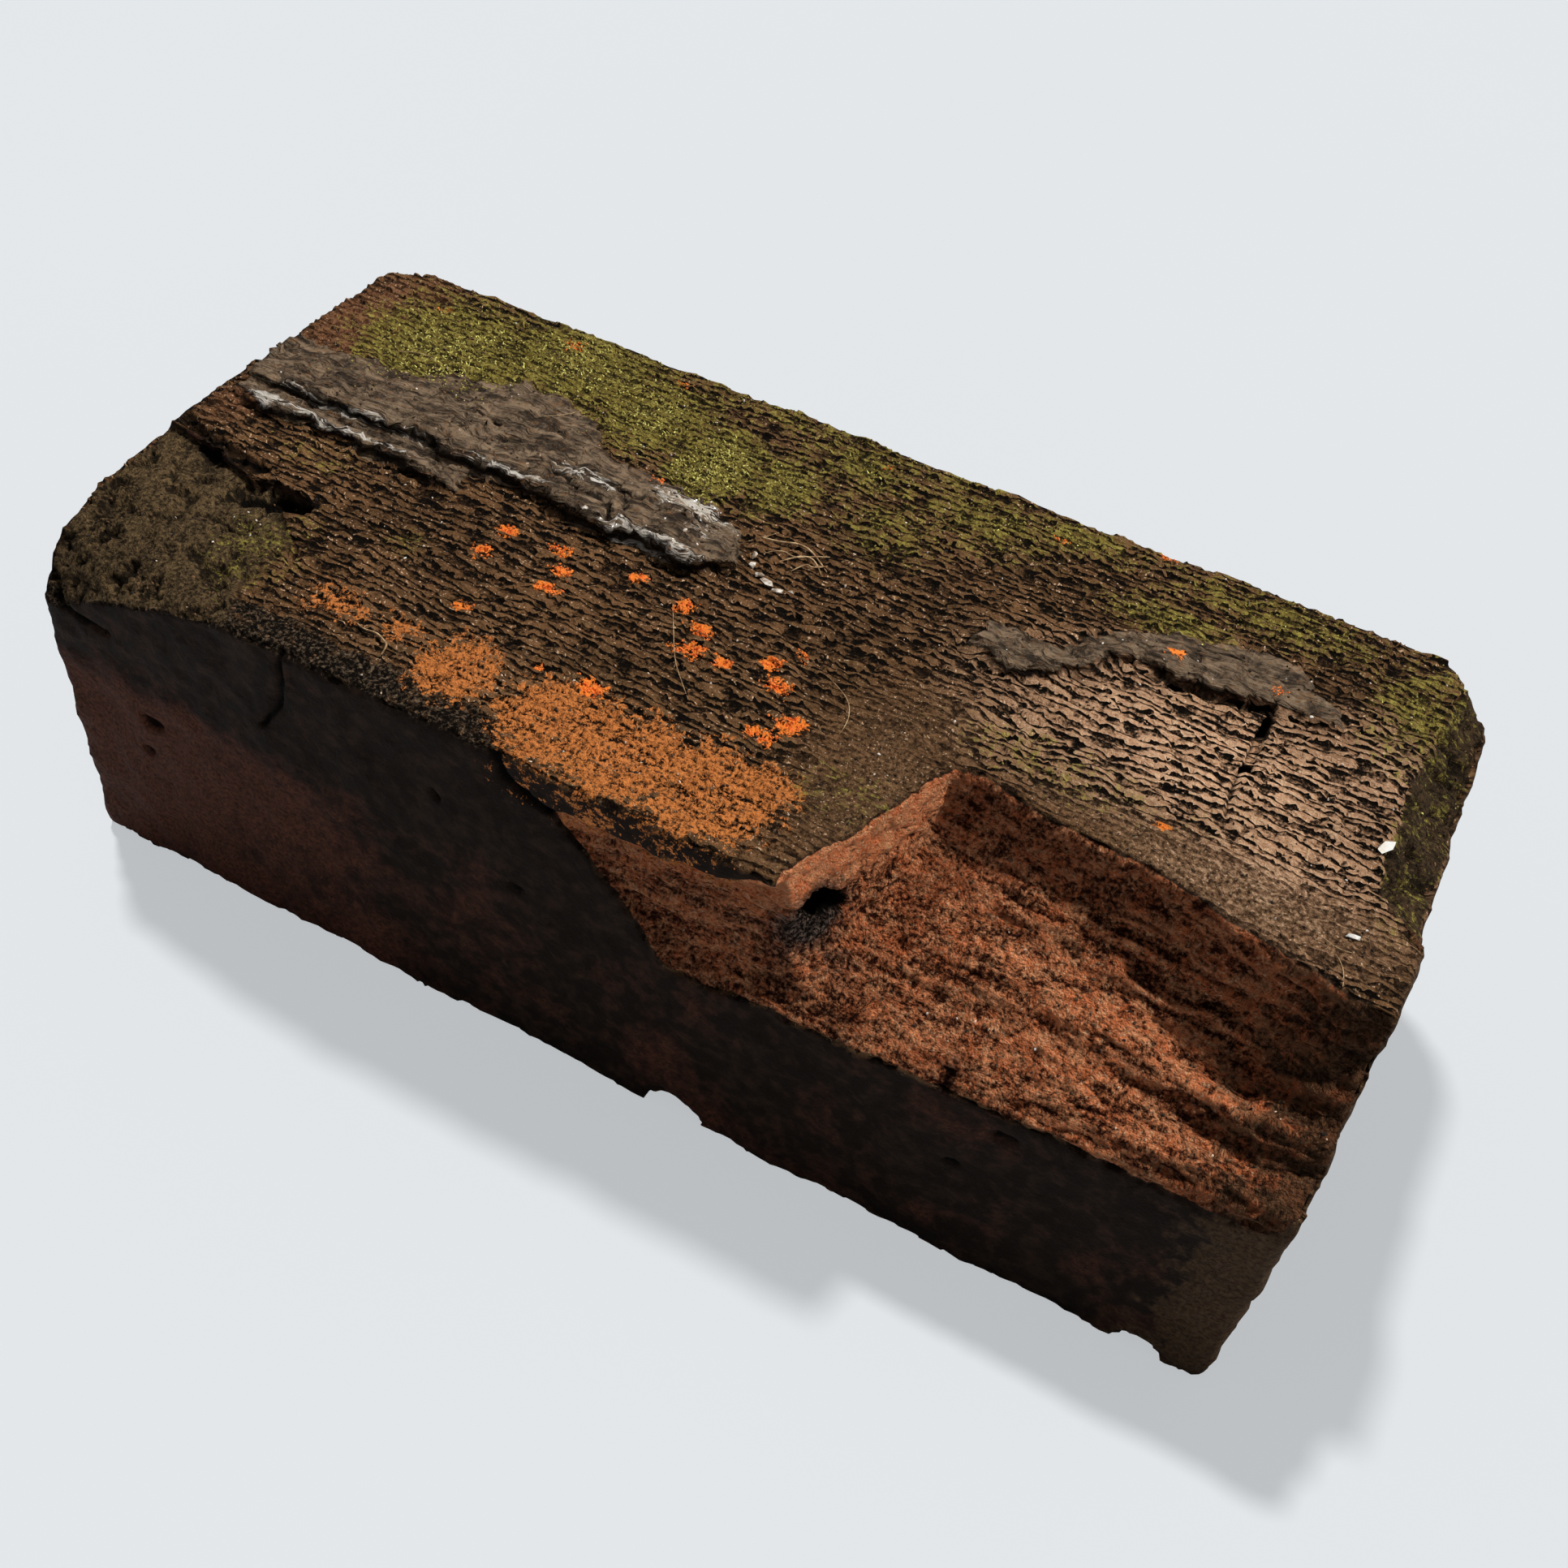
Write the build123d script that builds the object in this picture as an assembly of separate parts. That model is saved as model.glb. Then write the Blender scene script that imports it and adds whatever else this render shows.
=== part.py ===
from build123d import *
import os

# Old side-cut clay brick, fired in one piece. It lies on its lower cut face.
# X runs along the brick, Y from the front stretcher face to the back one, and Z up.
# The origin is the centre of the rectangle that the brick covers, on the face it rests on.

# Brick as it left the cutter, in millimetres
brick_length = 232.0
brick_width = 107.0
brick_height = 74.0
end_bow = 0.8
stretcher_bow = 0.6

# Rounding of the upright corners and of the cut arrises
front_corner_radius = 2.5
back_corner_radius = 6.0
cut_arris_radius = 1.4

# Large break at the front right corner: a steep wall under the top face, then a long slope
break_length = 87.0
break_reach = 37.0
break_height = 31.0
break_wall_height = 10.0
break_wall_lean = 2.5
break_relief = 5.0
# Its sections: share of the length, share of the reach at the top face, share of the wall's height,
# and how far the hollow, crest, ledge, brow and toe stand off a straight slope, as shares of the relief
break_sections = (
    (0.00, 0.07, 1.40, 0.00, 0.00, 0.00, 0.00, -0.20),
    (0.05, 0.36, 1.30, -0.20, 0.00, 0.00, 0.00, -0.12),
    (0.10, 0.66, 1.20, -0.36, -0.12, 0.00, 0.00, 0.00),
    (0.15, 0.98, 0.90, -0.36, -0.16, 0.00, 0.08, 0.06),
    (0.20, 1.00, 0.85, -0.24, 0.08, 0.00, 0.12, 0.12),
    (0.36, 0.91, 0.80, -0.20, 0.16, 0.04, 0.16, 0.28),
    (0.48, 0.90, 0.95, -0.32, 0.12, -0.08, 0.16, 0.32),
    (0.60, 0.87, 0.90, -0.40, 0.24, 0.08, 0.40, 0.40),
    (0.72, 0.80, 1.20, -0.52, 0.32, -0.12, 0.80, 0.16),
    (0.84, 0.74, 1.30, -0.52, 0.60, -0.04, 1.00, 0.04),
    (0.94, 0.69, 1.00, -0.28, 0.72, 0.20, 1.00, 0.00),
    (1.07, 0.66, 0.90, -0.20, 0.72, 0.20, 1.00, 0.00),
)
# How far down the straight slope each of those points lies
hollow_at = 0.28
crest_at = 0.50
ledge_at = 0.62
brow_at = 0.88

# Flat flake lost from the front face beside the break
flake_length = 44.0
flake_depth = 4.0
flake_height = 27.0
flake_below_top = 6.5
# Its sections: shares of the length and the depth, and where its upper and lower rims lie,
# as shares of its height below the upper rim
flake_sections = (
    (0.00, 0.08, 0.02, 0.06),
    (0.18, 0.40, 0.00, 0.34),
    (0.34, 0.65, 0.00, 0.62),
    (0.50, 0.80, -0.02, 0.98),
    (0.68, 0.90, -0.08, 0.98),
    (0.84, 1.00, -0.20, 0.92),
    (1.00, 1.00, -0.20, 0.90),
)

# Open pores that the break cut through, each as its size along X, Y and Z
slot_pore = (8.0, 10.0, 4.0)
slot_pore_place = (4.6, 9.5, 12.5)
edge_pore = (3.4, 4.0, 5.0)
edge_pore_place = (9.5, 21.5, 2.2)

# Worn shoulder at the front left corner, and the hollow behind it
shoulder_length = 47.0
shoulder_reach = 38.5
shoulder_drop = 17.0
shoulder_step = 2.0
# Its sections: share of the length, share of the reach by which its step comes forward, and
# shares of the step and of the drop
shoulder_sections = (
    (-0.13, 0.00, 1.00, 0.95),
    (0.10, 0.035, 1.00, 0.84),
    (0.30, 0.08, 1.00, 0.50),
    (0.65, 0.21, 0.80, 0.14),
    (1.05, 0.57, -0.30, 0.00),
)
shoulder_hollow = (14.0, 6.0, 6.0)
shoulder_hollow_place = (30.0, 31.0, 0.2)

# Knocks on the other corners and edges
back_right_chip = (13.0, 15.0, 26.0)
back_left_chip = (15.0, 9.0, 7.0)
chip_overlap = 1.5
end_bevel_length = 56.0
end_bevel_width = 10.0
end_bevel_drop = 7.0
end_bevel_from_back = 12.0
end_bevel_overlap = 0.1
foot_chip_radius = 6.0
foot_chip_depth = 4.0
foot_chip_x = 15.0
toe_chip_depth = 3.2
toe_chip_from_end = 12.5

# Skins of clay that the wire dragged over the top face and left standing. Their sections give the
# share of the length, the front and back edges measured from the centre line, and the share of the height
skin_root = 0.4
skin_nose = 1.6
long_skin_from_end = 1.5
long_skin_length = 106.5
long_skin_height = 3.6
long_skin_sections = (
    (0.00, 2.5, 15.0, 0.35),
    (0.10, 2.8, 18.0, 0.50),
    (0.18, 3.5, 20.0, 0.60),
    (0.29, 3.0, 24.5, 0.55),
    (0.36, 3.4, 26.5, 0.62),
    (0.42, 3.0, 31.0, 0.66),
    (0.52, 3.0, 30.0, 0.62),
    (0.61, 1.6, 25.0, 0.74),
    (0.67, 0.2, 19.5, 0.86),
    (0.75, -0.4, 19.0, 0.92),
    (0.82, 0.4, 18.5, 0.88),
    (0.90, -0.8, 17.0, 1.00),
    (0.945, 0.0, 14.0, 0.85),
    (0.975, 2.6, 11.5, 0.60),
    (1.00, 5.0, 8.0, 0.30),
)
fold_from_end = 4.0
fold_length = 51.0
fold_height = 2.4
fold_sections = (
    (0.00, -2.5, 1.2, 0.40),
    (0.12, -4.8, 1.4, 0.95),
    (0.33, -3.3, 1.6, 1.00),
    (0.53, -3.6, 1.2, 0.85),
    (0.74, -4.2, 1.2, 1.00),
    (0.90, -5.6, 0.6, 0.90),
    (1.00, -5.0, -1.6, 0.35),
)
short_skin_from_end = 23.0
short_skin_length = 60.0
short_skin_height = 1.7
short_skin_sections = (
    (0.00, 9.5, 13.5, 0.30),
    (0.06, 7.2, 16.5, 0.85),
    (0.17, 6.4, 17.6, 1.00),
    (0.24, 9.0, 18.0, 0.90),
    (0.29, 13.0, 23.0, 0.95),
    (0.36, 18.0, 26.5, 1.00),
    (0.43, 20.6, 29.5, 0.90),
    (0.56, 20.4, 33.0, 1.00),
    (0.69, 20.6, 35.6, 1.00),
    (0.79, 22.6, 35.0, 0.85),
    (0.90, 24.0, 32.0, 0.70),
    (1.00, 25.0, 28.0, 0.30),
)

# Drying crack across the top face, from the front edge of the short skin
crack_length = 27.0
crack_width = 0.9
crack_depth = 6.0
crack_from_end = 34.0
crack_end_y = 22.0
crack_slant = 1.5

# How far a cutting shape stands out of the brick
overshoot = 6.0

half_length = brick_length / 2
half_width = brick_width / 2
front = -half_width
top = brick_height
break_start = half_length - break_length


def section(x, outline):
    """Closed face across the brick at x, from (y, z) corners."""
    corners = [(x, y, z) for y, z in outline]
    return Face(Wire(Polyline(*corners, close=True)))


def ruled_solid(sections):
    """Solid through a row of cross-sections with the same number of corners."""
    return loft([section(x, outline) for x, outline in sections], ruled=True)


def ellipsoid(sizes, place, turn=Rot(0, 0, 0)):
    """Ellipsoid of these sizes along X, Y and Z, centred at place, with its poles turned out of the clay."""
    return Pos(*place) * scale(turn * Sphere(0.5), by=sizes)


def blank():
    """Column of clay cut by the wire, with bowed sides and soft arrises."""
    corner_x = half_length - end_bow
    corner_y = half_width - stretcher_bow
    with BuildSketch() as plan:
        with BuildLine():
            ThreePointArc((-corner_x, -corner_y), (0, -half_width), (corner_x, -corner_y))
            ThreePointArc((corner_x, -corner_y), (half_length, 0), (corner_x, corner_y))
            ThreePointArc((corner_x, corner_y), (0, half_width), (-corner_x, corner_y))
            ThreePointArc((-corner_x, corner_y), (-half_length, 0), (-corner_x, -corner_y))
        make_face()
    body = extrude(plan.sketch, brick_height)
    front_corners = body.edges().filter_by(Axis.Z).group_by(Axis.Y)[0]
    body = fillet(front_corners, front_corner_radius)
    back_corners = body.edges().filter_by(Axis.Z).filter_by_position(Axis.Y, half_width / 2, half_width)
    body = fillet(back_corners, back_corner_radius)
    levels = body.edges().group_by(Axis.Z)
    return fillet(levels[-1] + levels[0], cut_arris_radius)


def corner_break():
    """Clay lost from the front right corner: a steep wall under the top face, then a long slope."""

    def slope(along, reach, wall, hollow, crest, ledge, brow, toe):
        edge_y = front + reach * break_reach
        foot_y = edge_y - break_wall_lean
        foot_z = top - wall * break_wall_height
        toe_z = top - break_height + toe * break_relief
        rises = ((hollow_at, hollow), (crest_at, crest), (ledge_at, ledge), (brow_at, brow))
        middle = [
            (foot_y + at * (front - foot_y), foot_z + at * (toe_z - foot_z) + rise * break_relief)
            for at, rise in rises
        ]
        return (break_start + along * break_length, [
            (edge_y + break_wall_lean, top + overshoot),
            (edge_y, top),
            (foot_y, foot_z),
            *middle,
            (front, toe_z),
            (front - overshoot, toe_z - overshoot / 2),
            (front - overshoot, top + overshoot),
        ])

    return ruled_solid([slope(*values) for values in break_sections])


def flake():
    """Scab lost from the front face, shallow on the left and deep against the break."""
    left = break_start + 2 * break_wall_lean - flake_length
    rim = top - flake_below_top

    def scar(along, share, upper, lower):
        depth = flake_depth * share
        upper_z = rim - upper * flake_height
        lower_z = rim - lower * flake_height
        return (left + along * flake_length, [
            (front - overshoot, upper_z),
            (front, upper_z),
            (front + depth, upper_z - depth / 2),
            (front + depth, lower_z + depth),
            (front, lower_z),
            (front - overshoot, lower_z),
        ])

    return ruled_solid([scar(*values) for values in flake_sections])


def pores():
    """Air pockets cut open by the left wall of the break, one low on it and one at its top edge."""
    cuts = []
    for sizes, (along, inward, down) in ((slot_pore, slot_pore_place), (edge_pore, edge_pore_place)):
        cuts.append(ellipsoid(sizes, (break_start + along, front + inward, top - down)))
    return cuts


def worn_shoulder():
    """Front left corner, worn round, with a thin skin lost from the top face behind it."""

    def wear(along, narrowing, step, share):
        back_y = front + shoulder_reach * (1 - narrowing)
        step_z = top - step * shoulder_step
        knee_y = (back_y + front) / 2
        return (-half_length + along * shoulder_length, [
            (back_y + shoulder_step / 2, top + overshoot),
            (back_y, step_z),
            (knee_y, step_z - 0.03 * shoulder_drop * share),
            ((knee_y + front) / 2, step_z - 0.3 * shoulder_drop * share),
            (front, step_z - shoulder_drop * share),
            (front - overshoot, step_z - shoulder_drop * share),
            (front - overshoot, top + overshoot),
        ])

    return ruled_solid([wear(*values) for values in shoulder_sections])


def shoulder_pocket():
    """Deep little hollow at the right end of the shoulder's step."""
    along, inward, above = shoulder_hollow_place
    place = (-half_length + along, front + inward, top + above)
    return ellipsoid(shoulder_hollow, place, turn=Rot(Y=90))


def corner_chip(sign_x, sign_y, sizes):
    """Tetrahedron that a knock takes off an upper corner."""
    along, across, down = sizes
    tip_x = sign_x * (half_length + chip_overlap)
    tip_y = sign_y * (half_width + chip_overlap)
    high = top + chip_overlap
    base = Face(Wire(Polyline(
        (tip_x, tip_y, high),
        (tip_x - sign_x * (along + 2 * chip_overlap), tip_y, high),
        (tip_x, tip_y - sign_y * (across + 2 * chip_overlap), high),
        close=True,
    )))
    return loft([base, Vertex(tip_x, tip_y, top - down)], ruled=True)


def end_bevel():
    """Long knock along the top arris of the right end."""
    finish = half_width - end_bevel_from_back
    start = finish - end_bevel_length

    def cut(y, share):
        width = end_bevel_width * share
        drop = end_bevel_drop * share
        corners = [
            (half_length - width, y, top + end_bevel_overlap),
            (half_length - 0.45 * width, y, top - 0.7 * drop),
            (half_length + end_bevel_overlap, y, top - drop),
            (half_length + overshoot, y, top - drop),
            (half_length + overshoot, y, top + overshoot),
            (half_length - width, y, top + overshoot),
        ]
        return Face(Wire(Polyline(*corners, close=True)))

    return loft([
        cut(start, 0.15),
        cut(start + 0.15 * end_bevel_length, 0.9),
        cut(start + 0.6 * end_bevel_length, 1.0),
        cut(finish, 0.75),
        cut(half_width + overshoot, 0.6),
    ], ruled=True)


def foot_chips():
    """Two small knocks on the lower front arris."""
    ball = Sphere(foot_chip_radius)
    chips = ((foot_chip_x, foot_chip_depth), (half_length - toe_chip_from_end, toe_chip_depth))
    return [Pos(x, front - foot_chip_radius + depth, 0) * ball for x, depth in chips]


def dragged_skin(start, length, height, sections):
    """Tongue of clay that stands on the top face: a raised lip in front, fading out behind."""

    def outline(along, lip_y, back_y, share):
        width = back_y - lip_y
        rise = height * share
        nose = min(skin_nose, 0.35 * width)
        return (start + along * length, [
            (back_y, top - skin_root),
            (back_y - 0.3 * width, top + 0.45 * rise),
            (lip_y + nose, top + rise),
            (lip_y, top + 0.62 * rise),
            (lip_y + 0.75 * nose, top - skin_root),
        ])

    return ruled_solid([outline(*values) for values in sections])


def skins():
    """Long tongue from the left end, the fold in front of it, and the short tongue near the right end."""
    long_start = -half_length + long_skin_from_end
    fold_start = -half_length + fold_from_end
    short_start = half_length - short_skin_from_end - short_skin_length
    return [
        dragged_skin(long_start, long_skin_length, long_skin_height, long_skin_sections),
        dragged_skin(fold_start, fold_length, fold_height, fold_sections),
        dragged_skin(short_start, short_skin_length, short_skin_height, short_skin_sections),
    ]


def drying_crack():
    """Narrow wedge across the top face, from the short skin towards the front."""
    x = half_length - crack_from_end
    start_y = crack_end_y - crack_length
    middle_y = crack_end_y - crack_length / 2
    half = crack_width / 2
    above = top + skin_nose
    plan = Face(Wire(Polyline(
        (x - crack_slant, start_y, above),
        (x - half, middle_y, above),
        (x - half, crack_end_y, above),
        (x + crack_width, crack_end_y, above),
        (x + half, middle_y, above),
        close=True,
    )))
    return extrude(plan, crack_depth + skin_nose, dir=(0, 0, -1))


def brick():
    body = blank()
    body -= worn_shoulder()
    body -= shoulder_pocket()
    body -= corner_chip(1, 1, back_right_chip)
    body -= corner_chip(-1, 1, back_left_chip)
    body -= end_bevel()
    for skin in skins():
        body += skin
    body -= corner_break()
    body -= flake()
    for cut in pores() + foot_chips():
        body -= cut
    body -= drying_crack()
    return body


os.makedirs("parts", exist_ok=True)
solid = brick()
export_step(solid, "parts/brick.step")
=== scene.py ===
"""Old side-cut clay brick: fired body, lichen, moss, crumbs and root hairs, with its stage."""

import math

import bmesh
import bpy
import numpy as np
from mathutils import Matrix, Vector
from mathutils.bvhtree import BVHTree


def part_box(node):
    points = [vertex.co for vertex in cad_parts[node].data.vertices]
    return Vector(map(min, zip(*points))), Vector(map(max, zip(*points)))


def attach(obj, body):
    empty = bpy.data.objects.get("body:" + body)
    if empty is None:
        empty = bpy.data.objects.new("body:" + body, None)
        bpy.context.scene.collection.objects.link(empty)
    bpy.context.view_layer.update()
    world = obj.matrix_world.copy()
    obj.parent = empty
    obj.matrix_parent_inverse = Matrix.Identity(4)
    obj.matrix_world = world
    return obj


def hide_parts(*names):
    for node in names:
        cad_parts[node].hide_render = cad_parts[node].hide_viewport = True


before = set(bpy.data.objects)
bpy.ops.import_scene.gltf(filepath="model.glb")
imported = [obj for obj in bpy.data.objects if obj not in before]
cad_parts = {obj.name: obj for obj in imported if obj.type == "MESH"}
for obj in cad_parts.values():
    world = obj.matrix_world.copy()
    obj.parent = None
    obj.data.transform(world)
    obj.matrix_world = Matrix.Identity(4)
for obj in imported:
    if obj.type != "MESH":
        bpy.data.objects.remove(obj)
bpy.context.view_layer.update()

bl_info = {
    "name": "Weathered brick",
    "version": (1, 0, 0),
    "blender": (4, 5, 0),
    "location": "3D View > Sidebar > Brick",
    "description": "Builds the finish of an old broken clay brick around its solid",
    "category": "Object",
}

# The brick is worked in millimetres and scaled to metres at the end
MM = 0.001
BODY = "root"
NODE = "brick"

# Sizes that the solid was made to, and the height from which growths are painted
HALF_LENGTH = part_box(NODE)[1].x / MM
HALF_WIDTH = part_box(NODE)[1].y / MM
CUT_FACE = 74.0
END_BOW = 0.8
STRETCHER_BOW = 0.6
CORNER_RADIUS = 4.0
ARRIS_RADIUS = 1.4
UPPER_FROM = 62

# Outlines of the dragged skins on the cut face, as (x, y)
LONG_SKIN = (
    (-116, 19), (-104, 18), (-96, 20), (-88, 20), (-85, 24), (-78, 26), (-70, 31), (-60, 30), (-50, 25),
    (-46, 20), (-30, 19), (-18, 17), (-12, 12), (-9, 6), (-12, 2), (-17, -1), (-30, 0), (-40, 0),
    (-48, 1.5), (-58, 2.5), (-62, -1), (-61, -5), (-66, -5), (-80, -4), (-95, -3), (-103, -5), (-112, -1),
)
SHORT_SKIN = (
    (33, 10), (34, 16), (40, 18), (46, 17), (50, 24), (58, 29), (68, 34), (76, 36), (84, 34), (90, 28),
    (94, 25.5), (84, 24), (74, 20.5), (58, 21), (54, 18), (50, 13), (47, 9), (43, 6.5), (36, 7.5),
)

# Growths and stains on the cut face, each as (x, y, reach in x, reach in y, strength)
MOSS = (
    (-88, 32, 20, 19, 0.9), (-65, 42, 20, 14, 0.9), (-45, 36, 14, 14, 0.8), (-27, 28, 8, 12, 1.4),
    (-14, 30, 9, 10, 0.7), (-3, 44, 12, 9, 0.5), (8, 30, 12, 12, 0.35), (22, 42, 16, 10, 0.45),
    (38, 47, 12, 6, 0.5), (60, 35, 14, 5, 0.5), (76, 46, 22, 8, 0.4), (104, 36, 9, 16, 0.45),
    (-80, -34, 10, 12, 0.24), (-60, -20, 4, 4, 0.3), (58, -9, 22, 6, 0.22), (-88, -9, 12, 4, 0.2),
    (111, 10, 6, 30, 0.16), (30, -32, 8, 6, 0.2), (-15, 50, 90, 6, 0.3),
)
LICHEN = (
    (-48, -8, 3, 2.5, 1), (-48, -15, 2, 3, 1), (-37, -7, 3.5, 2, 1), (-34, -12, 3, 2.5, 1),
    (-34, -17, 3.5, 2, 1), (-22, -6, 2.6, 1.8, 1), (-12, -8, 3, 2.6, 1), (-7, -12, 4, 3, 1),
    (-6, -17, 4.5, 3.4, 1), (0, -17, 2.5, 2.5, 1), (10, -8, 2, 2, 1), (7, -13, 2.5, 2, 1),
    (10, -17, 4, 2.6, 1), (13, -28, 4.5, 2.6, 1), (16, -23.5, 4, 3.4, 1), (-43, -28, 2.2, 2, 1),
    (-15, -33, 4, 2.6, 1), (-24, -34, 2, 1.6, 1), (-97, 43, 2.6, 1.6, 1), (-69, 47, 3.4, 2.6, 1),
    (-45, 48, 2, 1.4, 1), (1, 47, 1.8, 1.4, 1), (36, 45, 1.6, 1.4, 1), (54, 51.5, 2, 2, 1),
    (64, 25, 2, 1.6, 1), (82, 27, 1.6, 1.4, 1), (74, -12, 2.6, 1.8, 1), (-33, 18.6, 1.8, 0.9, 1),
)
CRUST = (
    (-35, -41, 7, 8, 1), (-15, -43, 11, 10, 1), (-2, -43, 11, 11, 1), (12, -43, 12, 11, 1),
    (-60, -39, 8, 5, 0.5), (-48, -38, 7, 4, 0.45), (18, -38, 7, 6, 1),
)
RED_CLAY = ((-108, 30, 10, 18, 1), (-110, -4, 6, 8, 0.6), (-103, 44, 9, 8, 0.6))
PALE_CLAY = ((75, 6, 38, 20, 1), (92, -6, 22, 22, 0.8), (50, 0, 14, 14, 0.6), (100, 16, 12, 16, 0.7))
# Spots where the skins' creases get a glossy coat and a painted highlight
GLOSS = (
    (-44, 11, 8, 2.2, 1), (-24, 15, 12, 4, 0.9), (-18, 9, 7, 5, 0.5), (-24, 1, 14, 1.7, 0.9),
    (-90, 3.5, 26, 0.9, 0.8), (-55, 4, 12, 1.1, 0.9), (-88, -2.5, 24, 0.9, 0.9),
    (-106, -3, 5, 2.4, 0.9), (20, 12, 5, 3, 0.5),
)
SMOOTH_CUT = ((32, -26, 12, 22, 1), (86, -18, 32, 7, 1), (-40, -50, 80, 3, 0.6))

# Soot on the broken clay as (x, y, z, reach, strength), and the slot-shaped pore in its middle
SOOT = ((33, -45.5, 60, 8.5, 1.3), (38, -45, 52, 6, 0.6), (76, -30.5, 58, 4.5, 0.45), (61, -49, 47, 4, 0.5))
PORE_CENTRE = (33.4, -43.2, 61.4)
PORE_ALONG = (0.40, 0.74, -0.54)
PORE_ACROSS = (0.15, 0.53, 0.83)
PORE_HALF_SIZES = (5.6, 2.5)

# Debris: chips as (x, y, length, width, height, turn in degrees), fibres as (radius, lift, (x, y) points)
WHITE_CHIPS = ((106, 2, 4.6, 2.0, 1.0, 62), (106, -17.5, 2.2, 1.4, 0.8, 20), (88, 24, 1.0, 0.7, 0.4, 10))
SILVER_CHIPS = (
    (-3.4, 4.6, 3.4, 1.6, 1.0, -20), (-0.9, 3.8, 2.4, 1.7, 1.1, 35), (-5.4, 5.6, 2.6, 1.2, 0.9, 10),
    (-8.4, 9.8, 1.2, 2.6, 0.8, 12), (-7.6, 7.2, 1.6, 1.4, 0.9, 60), (-38, 1.2, 1.8, 1.0, 0.6, 30),
    (-31.5, 2.8, 1.6, 0.9, 0.6, 0), (-20.5, 6.2, 1.4, 0.8, 0.5, 80), (1.2, 4.9, 1.4, 0.9, 0.7, 15),
)
FIBRES = (
    (0.2, 0.7, ((-9.9, 14.8), (-6.4, 15.2), (-3.0, 16.4), (0.2, 16.0), (4.0, 13.2))),
    (0.17, 0.9, ((-4.1, 10.7), (-1.8, 13.8), (1.2, 14.4), (3.5, 11.9))),
    (0.15, 0.6, ((-1.3, 9.9), (0.3, 12.6), (1.8, 11.6), (3.4, 14.6))),
    (0.12, 0.8, ((-7.5, 12.0), (-5.0, 13.4), (-2.2, 12.6), (0.4, 14.8), (2.6, 17.2))),
    (0.10, 0.5, ((-11.5, 13.0), (-9.0, 15.8), (-8.0, 18.0))),
    (0.17, 0.8, (
        (-54.2, -41.2), (-52.2, -42.2), (-49.8, -41.8), (-47.6, -42.7), (-46.2, -43.8), (-46.6, -45.4),
    )),
    (0.07, 0.6, ((-13.9, -9.1), (-10.6, -14.5), (-7.0, -20.5), (-3.7, -24.2), (-0.5, -27.2))),
    (0.07, 0.6, ((15.9, -10.3), (19.8, -12.5), (22.4, -15.1), (23.8, -18.9), (23.5, -21.3))),
    (0.09, 0.5, ((104.5, -22), (106.5, -24), (107, -27))),
    (0.08, 0.5, ((102.0, -20), (104.5, -21.5), (106.5, -20.5))),
    (0.09, 0.5, ((-96, 25), (-92, 27.5), (-88, 27))),
    (0.08, 0.5, ((-60, 22), (-57, 25), (-56, 29))),
)

# Grooves as (path, half width, depth), on the cut face by (x, y) and on the front face by (x, z)
CUT_GROOVES = (
    (((-115, -13), (-107, -16), (-100, -17), (-93, -17.5)), 2.0, 2.0),
    (((-91, -24.5), (-86, -22), (-80, -22)), 1.8, 1.8),
    (((-100, 1.6), (-84, 1.0), (-70, 1.2), (-60, 1.0)), 0.8, 0.7),
    (((-49, 9.5), (-43, 7), (-37, 6), (-33, 1.5)), 0.8, 1.3),
    (((-40, 9), (-31, 11.5), (-23, 10.5), (-20, 13)), 0.7, 1.1),
    (((-45, 13), (-36, 10.5), (-32, 5)), 0.6, 0.9),
    (((-62, 12), (-59, 14)), 1.6, 1.0),
    (((-70, 15.8), (-65, 15.6)), 1.2, 1.0),
    (((57, 21.5), (66, 20), (74, 19.8), (83, 22.5)), 0.9, 0.8),
    (((82, 21), (81.4, 11), (81.2, 4), (82, -4)), 0.55, 0.9),
)
FRONT_GROOVES = (
    (((-61, 74), (-61, 67), (-63, 60), (-67, 54)), 0.8, 1.2),
    (((-20, 74), (-18, 69), (-14, 67.4), (-10, 66)), 1.1, 2.0),
    (((-113, 60), (-106, 58.5), (-100, 57.5)), 0.9, 1.2),
    (((-95, 39.5), (-93.6, 39)), 1.7, 2.0),
    (((-97, 30.5), (-96.6, 30)), 1.3, 1.6),
    (((-32, 57.5), (-31.4, 57)), 1.1, 1.2),
    (((-17, 43.5), (-16, 43)), 1.2, 1.0),
    (((65, 27), (66, 27)), 1.2, 1.2),
    (((71, 40), (73, 40)), 1.4, 1.2),
    (((60, 49), (61, 45)), 1.4, 1.2),
)

# The break's reach: its left end, its back and its bottom, and the nose that stands over the flake
BREAK_LEFT = -16
BREAK_BACK = -8
BREAK_BOTTOM = 34
NOSE_LEFT = 23
NOSE_TOP = 68

# Where looks change along x, y or z, as (from, to)
STRONG_LAYERS_X = (50.0, 95.0)
GRIME_X = (-5.0, -25.0)
GRIME_Y = (-44.0, -48.0)
END_POWDER_X = (60.0, 90.0)
BARE_SIDE_X = (10.0, -110.0)
BARE_SIDE_Z = (56.0, 40.0)
END_SOIL_X = (100.0, 108.0)
# Painted light on the nose, and painted shade on the flake's face
NOSE_PAINTED_LIGHT_X = (46.0, 37.0)
NOSE_PAINTED_LIGHT_Z = (60.0, 68.0)
FLAKE_SHADE_X = (27.0, 20.0)
DIRTY_BREAK_X = (94.0, 112.0)

# Relief: ledges of the broken clay, the pore, and how far the faces and skins stray
LEDGE_SPACING = 3.4
PORE_DEEPENING = 2.6
FACE_DRIFT = (2.6, 2.6, 0.6)
SKIN_JAG = (6.0, 6.0, 0.0)
SKIN_NICK = (2.6, 2.6, 0.6)

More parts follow.
